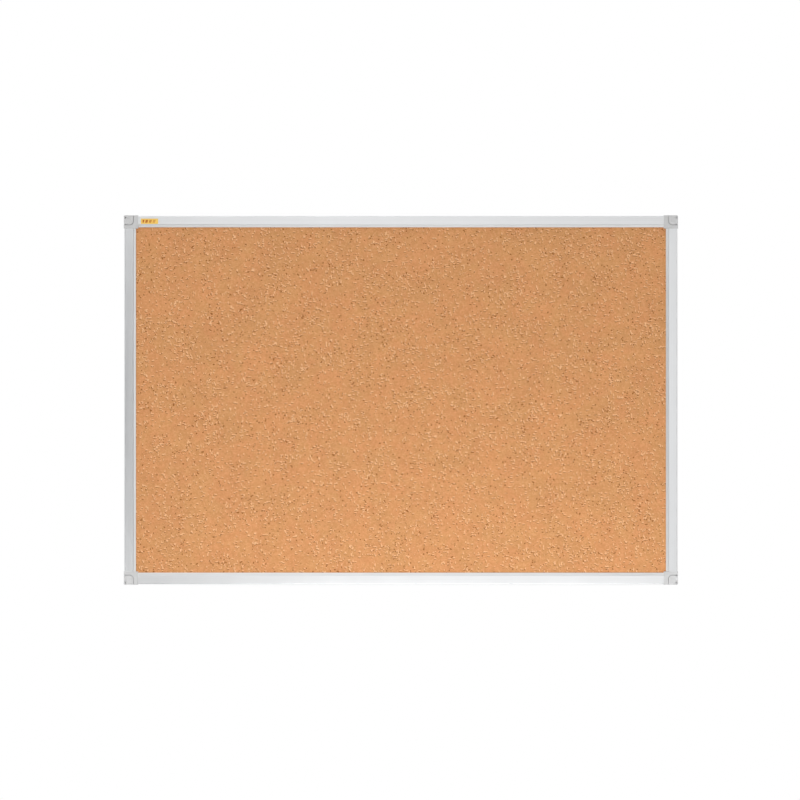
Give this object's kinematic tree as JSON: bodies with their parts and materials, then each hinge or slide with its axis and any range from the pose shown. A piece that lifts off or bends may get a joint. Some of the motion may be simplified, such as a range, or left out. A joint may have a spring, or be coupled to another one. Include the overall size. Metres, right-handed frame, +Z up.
{
  "type": "cork bulletin board",
  "caption": "Wall-mounted cork bulletin board in a slim anodised aluminium frame, with plastic corner mouldings and hinged covers over the wall-screw holes.",
  "frame": {"origin": "centre of the four wall-screw holes, in the plane of the wall that the board hangs on", "axes": "+X to the right seen from the front, +Y into the wall, +Z up; the cork faces -Y"},
  "size_m": [0.9, 0.017, 0.6],
  "materials": {
    "cork": "matte",
    "softboard": "matte",
    "backing_paper": "matte",
    "anodised_aluminium": "satin",
    "corner_plastic": "satin",
    "cover_plastic": "satin",
    "screw_steel": "satin",
    "label": "satin"
  },
  "bodies": {
    "board": {"cork_sheet": "cork", "softboard_core": "softboard", "back_sheet": "backing_paper", "label_sticker": "label", "top_rail": "anodised_aluminium", "bottom_rail": "anodised_aluminium", "left_rail": "anodised_aluminium", "right_rail": "anodised_aluminium", "corner_top_left": "corner_plastic", "rail_screws_top_left": "screw_steel", "corner_top_right": "corner_plastic", "rail_screws_top_right": "screw_steel", "corner_bottom_left": "corner_plastic", "rail_screws_bottom_left": "screw_steel", "corner_bottom_right": "corner_plastic", "rail_screws_bottom_right": "screw_steel"},
    "cover_top_left": {"screw_cover_top_left": "cover_plastic"},
    "cover_top_right": {"screw_cover_top_right": "cover_plastic"},
    "cover_bottom_left": {"screw_cover_bottom_left": "cover_plastic"},
    "cover_bottom_right": {"screw_cover_bottom_right": "cover_plastic"}
  },
  "joints": [
    {"name": "cover_hinge_top_left", "type": "hinge", "parent": "board", "child": "cover_top_left", "pos_m": [-0.4487, -0.0157, 0.2905], "axis": [0, 0, -1], "range_deg": [0, 175]},
    {"name": "cover_hinge_top_right", "type": "hinge", "parent": "board", "child": "cover_top_right", "pos_m": [0.4487, -0.0157, 0.2905], "axis": [0, 0, 1], "range_deg": [0, 175]},
    {"name": "cover_hinge_bottom_left", "type": "hinge", "parent": "board", "child": "cover_bottom_left", "pos_m": [-0.4487, -0.0157, -0.2905], "axis": [0, 0, -1], "range_deg": [0, 175]},
    {"name": "cover_hinge_bottom_right", "type": "hinge", "parent": "board", "child": "cover_bottom_right", "pos_m": [0.4487, -0.0157, -0.2905], "axis": [0, 0, 1], "range_deg": [0, 175]}
  ]
}
